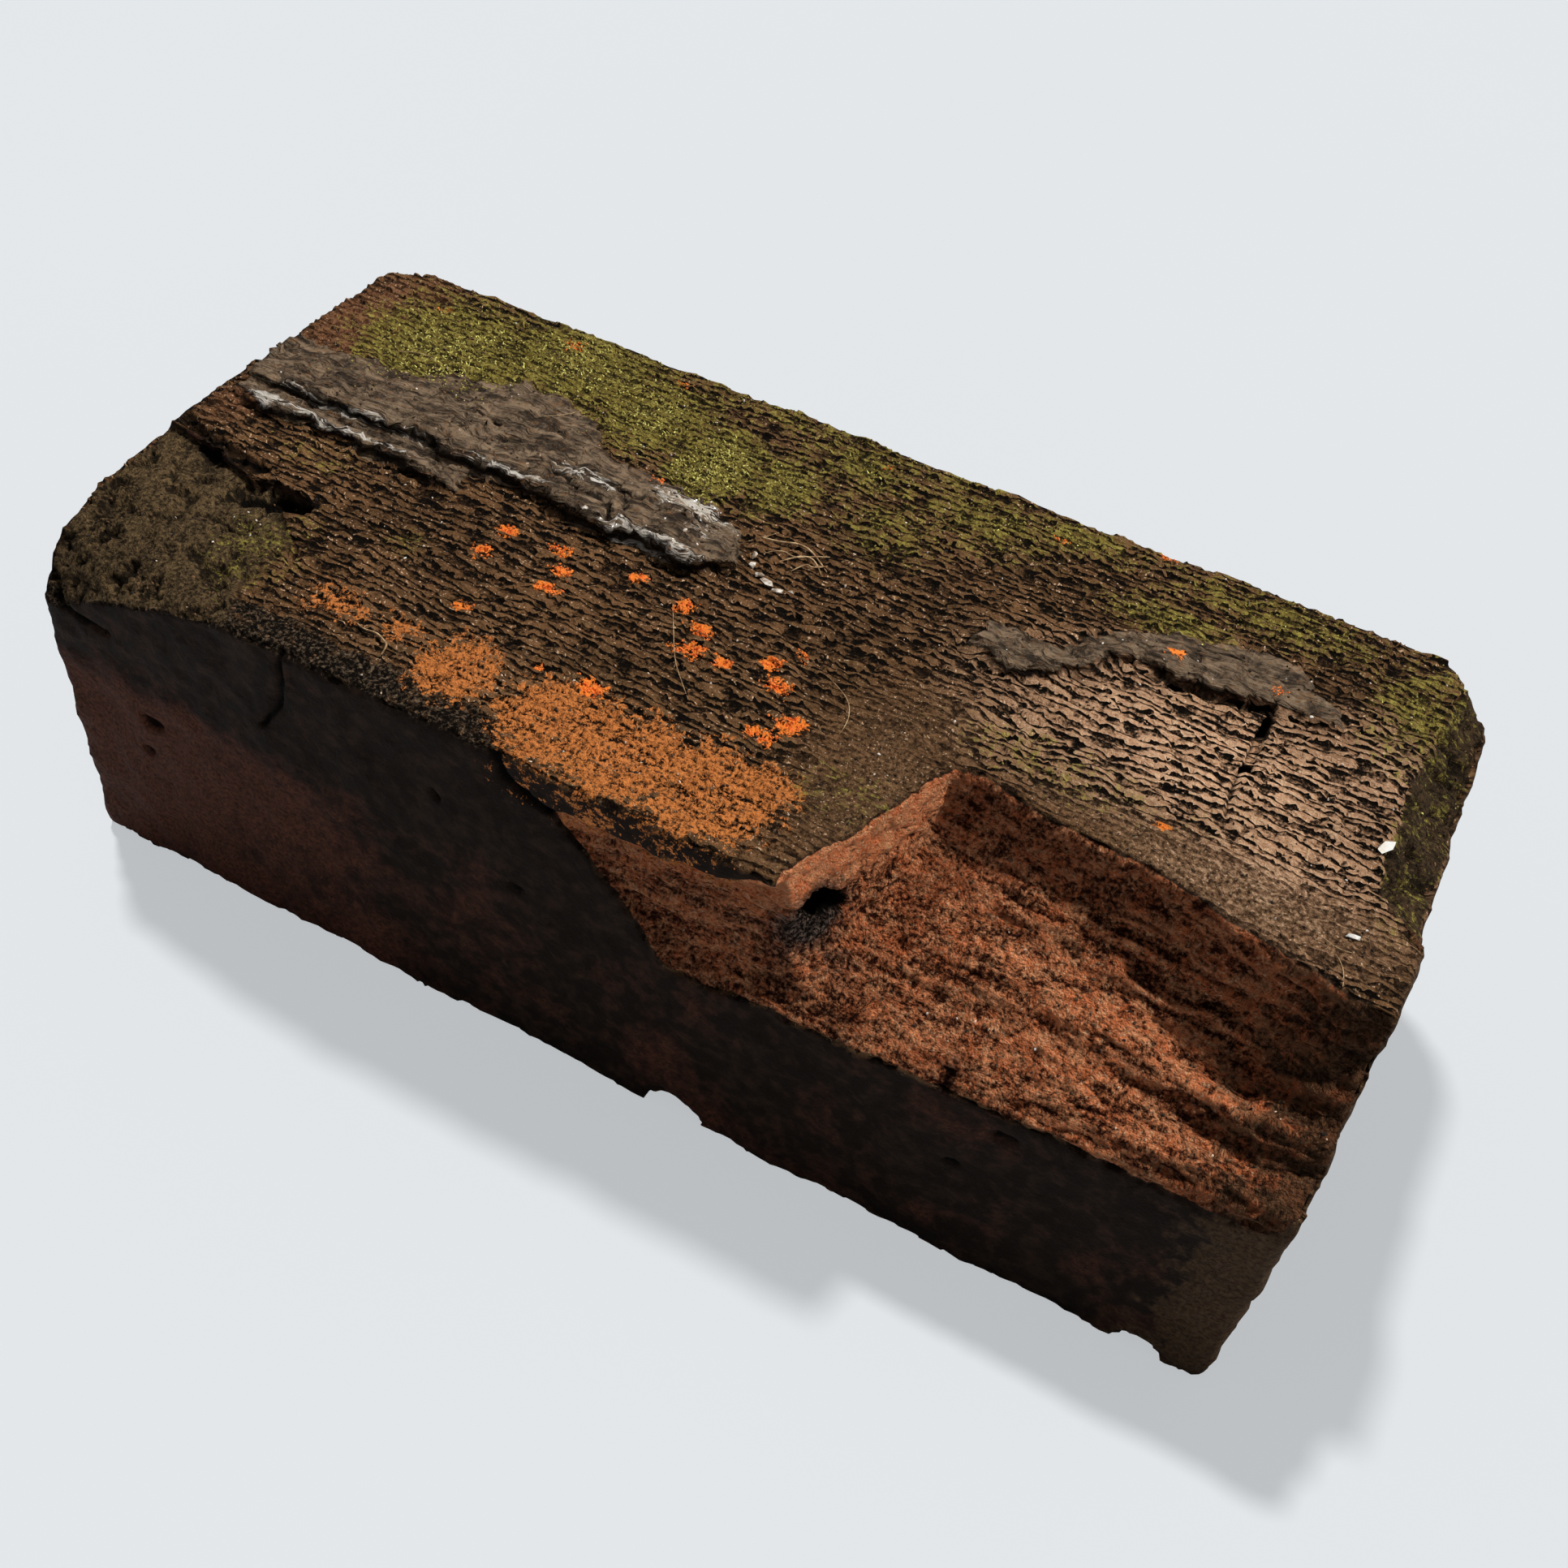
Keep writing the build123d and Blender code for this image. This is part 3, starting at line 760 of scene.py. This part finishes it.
def clay_material(look, pitch):
    """Fired clay that reads its patterns at the place each point had before its relief."""
    material, tree, shader = new_material("weathered_clay")
    place = put(tree, "ShaderNodeAttribute", attribute_name="source").outputs["Vector"]
    parts = put(tree, "ShaderNodeSeparateXYZ", [place]).outputs

    def field(name):
        return put(tree, "ShaderNodeAttribute", attribute_name=name).outputs["Fac"]

    def between(low, high, *values):
        return ramp(tree, plus(tree, *values), low, high)

    def swing(value, spread):
        return around(tree, value, spread)

    fine = noise(tree, place, 1.3, 4.0, 0.75)
    medium = noise(tree, place, 0.33, 3.0, 0.6)
    broad = noise(tree, place, 0.05, 2.0, 0.55)
    ragged = noise(tree, place, 0.9, 3.0, 0.8)
    relief = field("relief")
    side = inverse(tree, field("cut"))
    smooth = field("smooth")
    fresh = between(0.35, 0.65, field("fresh"), swing(medium, 0.2))
    skin = between(-0.3, 0.3, field("skin"), swing(medium, 0.9))

    # Cut face: painted shade in the gaps under brown crests, paler and redder in places
    rows = wire_rows(tree, place, pitch)
    # The rows' height sets painted shade in their low parts
    crest = between(0.1, 0.52, rows, swing(ragged, 0.14), swing(fine, 0.24))
    even = largest(tree, smooth, times(tree, field("red"), 0.7))
    crest = mixed(tree, even, crest, between(-0.55, 0.35, swing(fine, 0.7)))
    brown = between(-0.5, 0.6, swing(medium, 0.6), swing(broad, 0.6))
    brown = blend(tree, brown, look.soil, look.crest)
    brown = blend(tree, times(tree, field("pale"), 0.95), brown, look.pale)
    brown = blend(tree, times(tree, field("red"), 0.8), brown, look.red)
    brown = blend(tree, times(tree, smooth, 0.8), brown, look.smooth)
    # Dust and pale specks, laid more toward the rows' crests as painted light
    dust_and_painted_crest_light = between(0.0, 0.9, swing(fine, 0.5), times(tree, rows, 0.5))
    dust_and_painted_crest_light = times(tree, dust_and_painted_crest_light, mixed(tree, field("pale"), 0.5, 1.0))
    brown = blend(tree, dust_and_painted_crest_light, brown, blend(tree, field("pale"), look.dust, look.speck))
    specks = ramp(tree, noise(tree, place, 2.1, 1.0), 0.66, 0.72, 0.0, 0.7)
    brown = blend(tree, specks, brown, look.speck)
    colour = blend(tree, crest, look.hollow, brown)
    grime = times(tree, ramp(tree, parts[1], *GRIME_Y), ramp(tree, parts[0], *GRIME_X))
    ash = blend(tree, between(-0.1, 1.0, swing(fine, 1.0)), look.hollow, look.skin_light)
    colour = blend(tree, between(0.4, 0.9, grime, swing(ragged, 0.5), swing(medium, 0.4)), colour, ash)

    # Worn faces are powdery and dark, with painted shade in the low parts of their relief
    powder = between(-0.6, 0.8, times(tree, relief, 0.4), swing(fine, 0.9))
    light = blend(tree, ramp(tree, parts[0], *END_POWDER_X), look.powder, look.end_brown)
    powder = blend(tree, powder, look.powder_dark, light)
    worn = between(0.3, 0.9, field("depth"), swing(medium, 0.2))
    colour = blend(tree, worn, colour, powder)

    # Sides keep the dark skin of the die, with red clay showing through low on the left
    low_left = plus(tree, ramp(tree, parts[0], *BARE_SIDE_X), ramp(tree, parts[2], *BARE_SIDE_Z))
    bare_side = between(0.9, 2.0, low_left, swing(medium, 0.35), swing(broad, 0.6))
    die = blend(tree, between(-0.4, 0.9, swing(medium, 1.0)), look.die_skin, look.die_light)
    side_red = blend(tree, between(-0.6, 0.6, swing(fine, 0.8)), look.side_dark, look.side_red)
    die = blend(tree, bare_side, die, side_red)
    end = between(*END_SOIL_X, parts[0], swing(medium, 8.0))
    end_soil = blend(tree, between(-0.7, 0.7, swing(fine, 0.8)), look.side_dark, look.end_brown)
    colour = blend(tree, side, colour, blend(tree, end, die, end_soil))

    # Broken clay: bright sandy grains over dark pits, the pits and low parts darkened as painted shade, and
    # painted light on the nose
    crumbs = put(tree, "ShaderNodeTexVoronoi", {"Vector": place, "Scale": 1.2, "Detail": 1.0})
    crumbs = crumbs.outputs["Distance"]
    layers = noise(tree, stretched(tree, place, (0.3, 1, 1)), 0.6, 3.0, 0.7, 0.4)
    nose = times(tree, ramp(tree, parts[2], *NOSE_PAINTED_LIGHT_Z), ramp(tree, parts[0], *NOSE_PAINTED_LIGHT_X), 0.5)
    # Low relief and gaps between crumbs get painted shade; the nose gets painted light
    grain = plus(tree, times(tree, relief, 0.45), times(tree, crumbs, -0.3), nose)
    grain = between(-0.42, 0.42, grain, swing(fine, 0.58), swing(layers, 0.3), 0.12)
    bright = blend(tree, between(-0.7, 0.9, swing(medium, 1.0)), look.broken, look.broken_light)
    grits = ramp(tree, noise(tree, place, 1.9, 2.0, 0.7), 0.54, 0.68, 0.0, 0.75)
    bright = blend(tree, grits, bright, look.broken_grain)
    broken = blend(tree, grain, look.broken_dark, bright)
    # Painted shade on the flake's face and on the steep wall under the break's top edge
    shade = ramp(tree, parts[0], *FLAKE_SHADE_X, 0.0, 0.3)
    shade = largest(tree, times(tree, field("steep"), 0.35), shade)
    broken = blend(tree, shade, broken, look.broken_dark)
    dirty = times(tree, between(*DIRTY_BREAK_X, parts[0], swing(medium, 9.0)), 0.85)
    broken = blend(tree, dirty, broken, end_soil)
    sooty = times(tree, field("soot"), between(0.3, 0.75, field("soot"), swing(ragged, 0.5)))
    soot = blend(tree, ramp(tree, fine, 0.45, 0.62), look.hollow, look.soot)
    broken = blend(tree, sooty, broken, soot)
    colour = blend(tree, fresh, colour, broken)

    # Dragged skins: warm grey, with painted shade down their sides, and glossy creases that get a coat and a
    # painted highlight
    streaks = noise(tree, stretched(tree, place, (0.16, 1, 1)), 0.6, 3.0, 0.7, 0.8)
    grey = between(0.32, 0.72, streaks, swing(fine, 0.14), swing(medium, 0.14))
    grey = blend(tree, grey, look.skin, look.skin_light)
    grey = blend(tree, ramp(tree, ragged, 0.54, 0.66, 0.0, 0.7), grey, look.crest)
    # Painted shade down the skins' steep sides
    grey = blend(tree, ramp(tree, field("open"), 0.9, 0.3, 0.0, 0.85), grey, look.hollow)
    colour = blend(tree, skin, colour, grey)
    ridge = maths(tree, "ABSOLUTE", maths(tree, "SUBTRACT", streaks, 0.5))
    gloss = between(0.3, 0.55, times(tree, ridge, -5.0), field("gloss"), swing(ragged, 0.25))
    gloss = times(tree, gloss, skin, field("open"))
    # Painted highlight on the glossy creases, besides their coat
    colour = blend(tree, times(tree, gloss, 0.75), colour, look.gloss)

    # The pore and the grooves get painted shade inside, nearly black
    black = times(tree, between(0.3, 0.9, field("groove"), swing(ragged, 0.3)), 0.85)
    black = largest(tree, between(0.3, 0.5, field("pore"), swing(ragged, 0.12)), black)
    colour = blend(tree, black, colour, look.black)

    # Crust, lichen and moss film
    crust = between(0.34, 0.46, field("crust"), swing(ragged, 0.45), swing(medium, 0.24))
    pitted = between(-0.5, -0.1, swing(fine, 0.6), times(tree, relief, 0.8))
    crust = times(tree, crust, ramp(tree, field("crust"), 0.0, 0.2), pitted)
    crust_tint = blend(tree, between(-0.6, 0.3, swing(fine, 0.8)), look.crust_dark, look.crust)
    colour = blend(tree, crust, colour, crust_tint)
    lichen = between(0.72, 0.86, field("lichen"), swing(ragged, 0.6), swing(medium, 0.4))
    lichen = times(tree, lichen, ramp(tree, field("lichen"), 0.0, 0.15))
    colour = blend(tree, lichen, colour, look.lichen)
    moss = between(0.2, 0.7, field("moss"), swing(ragged, 0.35), swing(medium, 0.25), times(tree, rows, 0.2))
    moss = times(tree, moss, inverse(tree, skin), ramp(tree, field("moss"), 0.0, 0.1))
    green = blend(tree, between(-0.4, 0.8, swing(ragged, 1.0)), look.moss, look.moss_light)
    # Painted shade in the film where it lies in the rows' low parts
    green = blend(tree, between(0.05, 0.5, rows, swing(fine, 0.5)), look.moss_dark, green)
    colour = blend(tree, times(tree, moss, 0.92), colour, green)
    tree.links.new(colour, shader.inputs["Base Color"])

    matt = mixed(tree, side, 0.9, 0.7)
    rough = mixed(tree, skin, matt, 0.6)
    tree.links.new(mixed(tree, fresh, rough, 0.95), shader.inputs["Roughness"])
    tree.links.new(gloss, shader.inputs["Coat Weight"])
    shader.inputs["Coat Roughness"].default_value = 0.16
    shader.inputs["Specular IOR Level"].default_value = 0.06

    # Fine grit, strongest on broken clay, over the rows of the cut face
    sand = plus(tree, fine, times(tree, crumbs, fresh, -0.35), times(tree, noise(tree, place, 3.4, 1.0), 0.4))
    strength = mixed(tree, skin, mixed(tree, side, 0.9, 0.5), 0.4)
    strength = mixed(tree, fresh, strength, 2.3)
    bare = inverse(tree, largest(tree, fresh, skin, worn, side))
    open_rows = times(tree, rows, bare, plus(tree, times(tree, smooth, -0.45), 0.55))
    sheet = times(tree, streaks, skin, 2.0)
    height = plus(tree, times(tree, sand, strength), open_rows, sheet, times(tree, layers, fresh, 1.4))
    bump = put(tree, "ShaderNodeBump", {"Strength": 1.0, "Distance": 0.9 * MM, "Height": height})
    tree.links.new(bump.outputs[0], shader.inputs["Normal"])
    return material


def growth_material(name, dark, light, roughness=0.9):
    """Matt colour that changes from grain to grain."""
    material, tree, shader = new_material(name)
    place = put(tree, "ShaderNodeTexCoord").outputs["Object"]
    grains = noise(tree, place, 0.7 / MM, 2.0)
    tree.links.new(blend(tree, ramp(tree, grains, 0.35, 0.65), dark, light), shader.inputs["Base Color"])
    shader.inputs["Roughness"].default_value = roughness
    pits = noise(tree, place, 4 / MM)
    bump = put(tree, "ShaderNodeBump", {"Strength": 0.5, "Distance": 0.2 * MM, "Height": pits})
    tree.links.new(bump.outputs[0], shader.inputs["Normal"])
    return material


# Settings


def length(name, description, default):
    return bpy.props.FloatProperty(
        name=name, description=description, default=default, min=0.0, unit="LENGTH", precision=5
    )


def colour(name, description, red, green, blue):
    return bpy.props.FloatVectorProperty(
        name=name.replace("_", " ").capitalize(), description=description, default=srgb(red, green, blue),
        size=4, subtype="COLOR", min=0.0, max=1.0,
    )


class BrickRelief(bpy.types.PropertyGroup):
    """Sizes of the brick's surface relief."""

    voxel: length("Voxel", "Spacing of the fine mesh before it is thinned", 0.00045)
    wire_pitch: length("Wire pitch", "Distance between the rows that the wire tore", 0.0017)
    wire_depth: length("Wire depth", "Depth of the torn rows", 0.0009)
    grain_height: length("Grain height", "Height of the grains in broken clay", 0.00035)
    lamination: length("Lamination", "Height of the layers in broken clay", 0.0011)
    arris_wear: length("Arris wear", "Depth of the chips along the arrises", 0.0018)
    most_triangles: bpy.props.IntProperty(
        name="Most triangles", description="Triangles that the body keeps", default=194000, min=1000
    )


class BrickColours(bpy.types.PropertyGroup):
    """Colours of clay, stains and growths."""

    __annotations__ = {name: colour(name, *values) for name, *values in COLOURS}


# Operators


class BRICK_OT_body(bpy.types.Operator):
    """Builds the fired clay body, with its relief and weathered finish"""

    bl_idname = "brick.body"
    bl_label = "Fired clay body"

    def execute(self, context):
        relief = context.scene.brick_relief
        material = clay_material(context.scene.brick_colours, relief.wire_pitch / MM)
        fine = scratch_object("fine", fine_blank(relief.voxel / MM))
        with_nodes(fine, relief_tree(), {
            "Wire Pitch": relief.wire_pitch / MM,
            "Wire Depth": relief.wire_depth / MM,
            "Grain Height": relief.grain_height / MM,
            "Lamination": relief.lamination / MM,
            "Arris Wear": relief.arris_wear / MM,
            "Material": material,
        })
        rough = evaluated(fine, "rough")
        bpy.data.objects.remove(fine)
        triangles = sum(len(face.vertices) - 2 for face in rough.polygons)
        coarse = scratch_object("coarse", rough)
        thin = coarse.modifiers.new("thin", "DECIMATE")
        thin.ratio = min(1.0, relief.most_triangles / triangles)
        mesh = evaluated(coarse, "brick_body")
        bpy.data.objects.remove(coarse)
        mesh.transform(Matrix.Scale(MM, 4))
        mesh.shade_smooth()
        body = scratch_object("brick_body", mesh)
        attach(body, BODY)
        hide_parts(NODE)
        return {"FINISHED"}


class BRICK_OT_lichen(bpy.types.Operator):
    """Strews the granules of orange lichen and of its older crust"""

    bl_idname = "brick.lichen"
    bl_label = "Lichen granules"

    def execute(self, context):
        look = context.scene.brick_colours
        bright = growth_material("orange_lichen", look.lichen_dark, look.lichen)
        strew(
            "lichen_granules", "grain", bright, seed=11, field="lichen", start=0.72, full=1.3, density=7.0,
            clumps=0.5, least=(0.3, 0.3, 0.2), most=(0.75, 0.75, 0.5),
        )
        dull = growth_material("dull_crust", look.crust_dark, look.crust)
        strew(
            "crust_granules", "grain", dull, seed=23, field="crust", start=0.35, full=1.2, density=2.2,
            clumps=0.5, least=(0.2, 0.2, 0.1), most=(0.5, 0.5, 0.25),
        )
        return {"FINISHED"}


class BRICK_OT_moss(bpy.types.Operator):
    """Strews the small tufts of moss"""

    bl_idname = "brick.moss"
    bl_label = "Moss tufts"

    def execute(self, context):
        look = context.scene.brick_colours
        cushion = growth_material("moss_cushions", look.moss, look.moss_light)
        strew(
            "moss_cushions", "grain", cushion, seed=31, field="moss", start=0.35, full=1.3, density=2.6,
            clumps=0.3, least=(0.25, 0.25, 0.2), most=(0.7, 0.7, 0.45),
        )
        tips = growth_material("moss_tips", look.moss_light, look.moss_tip)
        strew(
            "moss_tips", "tuft", tips, seed=37, field="moss", start=0.6, full=1.4, density=2.0,
            clumps=0.35, least=(0.2, 0.2, 0.3), most=(0.5, 0.5, 0.9), tilt=1.1,
        )
        return {"FINISHED"}


class BRICK_OT_debris(bpy.types.Operator):
    """Lays soil crumbs, pale grit, chips and root fibres on the brick"""

    bl_idname = "brick.debris"
    bl_label = "Crumbs, chips and fibres"

    def execute(self, context):
        look = context.scene.brick_colours
        soil = growth_material("soil_crumbs", look.hollow, look.crest)
        strew(
            "soil_crumbs", "grain", soil, seed=41, field="open", start=0.7, full=1.6, density=0.22,
            clumps=0.08, least=(0.3, 0.3, 0.25), most=(0.9, 0.9, 0.6),
        )
        pale = growth_material("pale_grit", look.speck, look.white)
        strew(
            "pale_grit", "grain", pale, seed=53, field="open", start=0.8, full=1.6, density=0.03,
            clumps=0.06, least=(0.25, 0.25, 0.2), most=(0.8, 0.5, 0.4),
        )
        height = surface_finder()
        white = growth_material("white_chips", look.gloss, look.white, 0.6)
        self.lay_chips("white_chips", WHITE_CHIPS, white, height)
        silver = growth_material("silver_chips", look.skin_light, look.gloss, 0.35)
        self.lay_chips("silver_chips", SILVER_CHIPS, silver, height)
        straw = growth_material("root_fibres", look.fibre_dark, look.fibre, 0.7)
        parts = []
        for radius, lift, path in FIBRES:
            points = []
            for number, (x, y) in enumerate(path):
                rise = 0.15 if number in (0, len(path) - 1) else lift
                points.append((x, y, height(x, y) + rise))
            parts.append(fibre(points, radius))
        fibres = joined(parts)
        fibres.materials.append(straw)
        finish_piece("root_fibres", fibres, smooth=True)
        return {"FINISHED"}

    def lay_chips(self, name, table, material, height):
        chips = []
        for number, (x, y, long, wide, high, turn) in enumerate(table):
            place = (x, y, height(x, y) + 0.3 * high)
            chips.append(flake_of_stone(place, (long, wide, high), turn, number))
        mesh = joined(chips)
        mesh.materials.append(material)
        finish_piece(name, mesh)


class BRICK_OT_stage(bpy.types.Operator):
    """Sets the floor, the lights and the camera"""

    bl_idname = "brick.stage"
    bl_label = "Stage"

    def execute(self, context):
        scene = context.scene
        scene.view_settings.view_transform = "Standard"
        material, tree, shader = new_material("pale_floor")
        place = put(tree, "ShaderNodeTexCoord").outputs["Object"]
        tint = blend(tree, noise(tree, place, 3.0, 4.0), srgb(219, 222, 225), srgb(228, 231, 233))
        tree.links.new(tint, shader.inputs["Base Color"])
        shader.inputs["Roughness"].default_value = 0.9

        # The camera sees part of the floor's paleness as its own light, so the shadow stays soft
        glow = put(tree, "ShaderNodeEmission", {"Color": srgb(228, 232, 235)})
        seen = put(tree, "ShaderNodeLightPath").outputs["Is Camera Ray"]
        share = maths(tree, "MULTIPLY", seen, 0.6)
        shown = put(tree, "ShaderNodeMixShader", [share, shader, glow])
        tree.links.new(shown.outputs[0], tree.nodes["Material Output"].inputs["Surface"])
        mesh = bpy.data.meshes.new("floor")
        corners = [(x * FLOOR_REACH, y * FLOOR_REACH, 0) for x, y in ((-1, -1), (1, -1), (1, 1), (-1, 1))]
        mesh.from_pydata(corners, [], [(0, 1, 2, 3)])
        mesh.materials.append(material)
        floor = scratch_object("floor", mesh)
        self.add_lights(scene)
        self.add_camera(scene)
        return {"FINISHED"}

    def add_lights(self, scene):
        floor = bpy.data.objects["floor"]
        pieces = [item for item in scene.objects if item.type == "MESH" and item != floor]
        for name, energy, tint, toward, lights_floor in SUNS:
            sun = bpy.data.lights.new(name, "SUN")
            sun.energy = energy
            sun.angle = SUN_ANGLE
            sun.color = tint
            lamp = scratch_object(name, sun)
            lamp.rotation_euler = Vector(toward).to_track_quat("-Z", "Y").to_euler()
            receivers = bpy.data.collections.new(name + "_receivers")
            for item in [floor] if lights_floor else pieces:
                receivers.objects.link(item)
            lamp.light_linking.receiver_collection = receivers
        world = bpy.data.worlds.new("studio")
        world.use_nodes = True
        tree = world.node_tree
        scene.world = world
        background = tree.nodes["Background"]
        background.inputs["Strength"].default_value = 0.2
        background.inputs["Color"].default_value = (0.93, 0.96, 1.0, 1.0)

    def add_camera(self, scene):
        lens = bpy.data.cameras.new("camera")
        lens.sensor_width = 36.0
        lens.lens = LENS
        lens.clip_start = 0.01
        camera = scratch_object("camera", lens)
        turn = Matrix((Vector(CAMERA_RIGHT), -Vector(CAMERA_DOWN), -Vector(CAMERA_AHEAD))).transposed()
        camera.matrix_world = Matrix.Translation(CAMERA_PLACE) @ turn.to_4x4()
        scene.camera = camera


class BRICK_PT_panel(bpy.types.Panel):
    """Lists the brick's pieces and settings"""

    bl_idname = "BRICK_PT_panel"
    bl_label = "Weathered brick"
    bl_space_type = "VIEW_3D"
    bl_region_type = "UI"
    bl_category = "Brick"

    def draw(self, context):
        for operator in PIECES:
            self.layout.operator(operator.bl_idname)
        for settings in (context.scene.brick_relief, context.scene.brick_colours):
            for name in settings.__annotations__:
                self.layout.prop(settings, name)


PIECES = (BRICK_OT_body, BRICK_OT_lichen, BRICK_OT_moss, BRICK_OT_debris, BRICK_OT_stage)
CLASSES = (BrickRelief, BrickColours, *PIECES, BRICK_PT_panel)


def register():
    for item in CLASSES:
        bpy.utils.register_class(item)
    bpy.types.Scene.brick_relief = bpy.props.PointerProperty(type=BrickRelief)
    bpy.types.Scene.brick_colours = bpy.props.PointerProperty(type=BrickColours)


def unregister():
    del bpy.types.Scene.brick_relief
    del bpy.types.Scene.brick_colours
    for item in reversed(CLASSES):
        bpy.utils.unregister_class(item)


def main():
    register()
    for operator in PIECES:
        group, action = operator.bl_idname.split(".")
        getattr(getattr(bpy.ops, group), action)()


if __name__ == "__main__":
    main()
